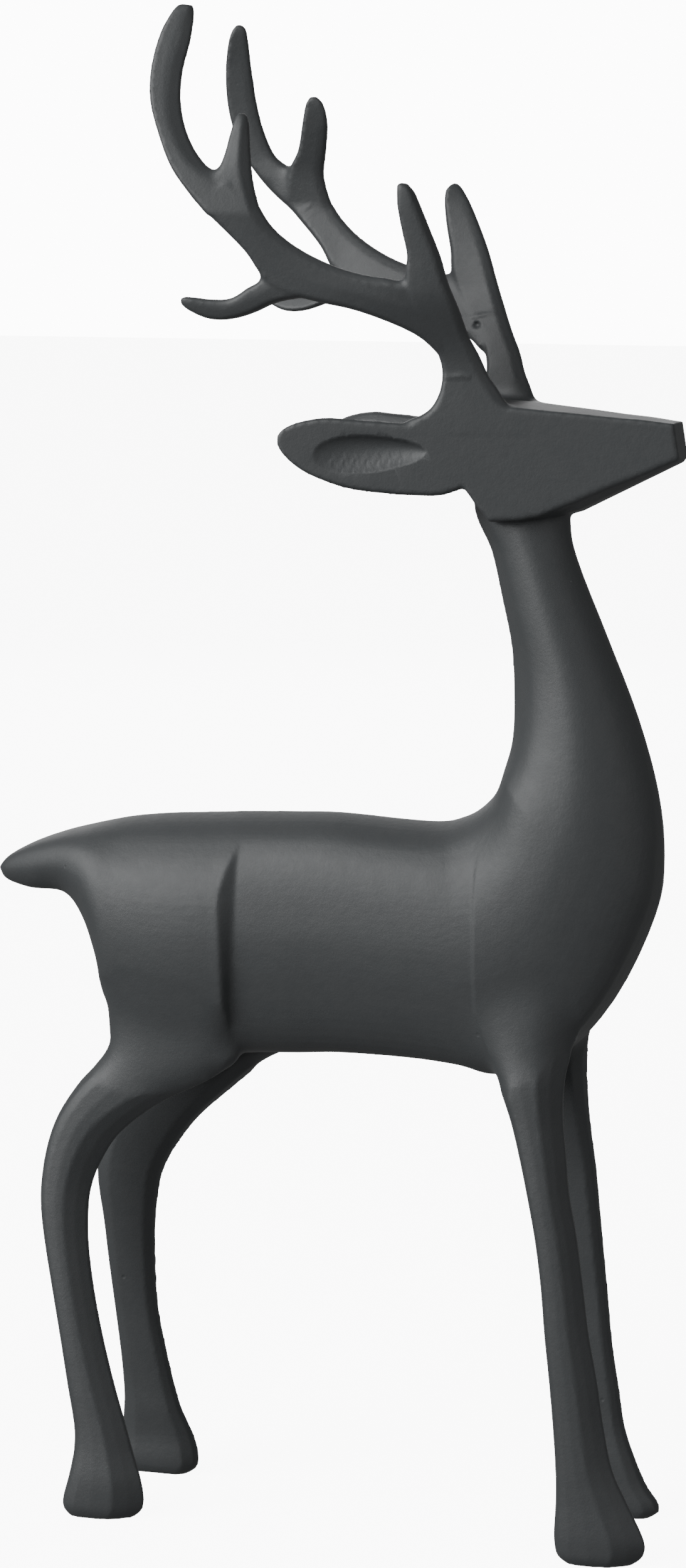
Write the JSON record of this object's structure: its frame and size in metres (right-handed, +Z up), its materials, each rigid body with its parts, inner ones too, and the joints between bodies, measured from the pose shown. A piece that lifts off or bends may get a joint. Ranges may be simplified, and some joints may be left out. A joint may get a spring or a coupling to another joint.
{
  "type": "reindeer figurine",
  "caption": "Standing reindeer figurine with a slab-sided head turned forward, long neck, branched antlers, faceted legs and flat hooves, cast in one piece.",
  "frame": {"origin": "on the floor, at the middle of the bounding box's base", "axes": "+Z up through the antlers, +X the way the figure faces, +Y its left side"},
  "size_m": [0.179, 0.067, 0.38],
  "materials": {
    "body": "matt anthracite paint on cast aluminium"
  },
  "bodies": {
    "root": {"reindeer": "body"}
  },
  "joints": []
}
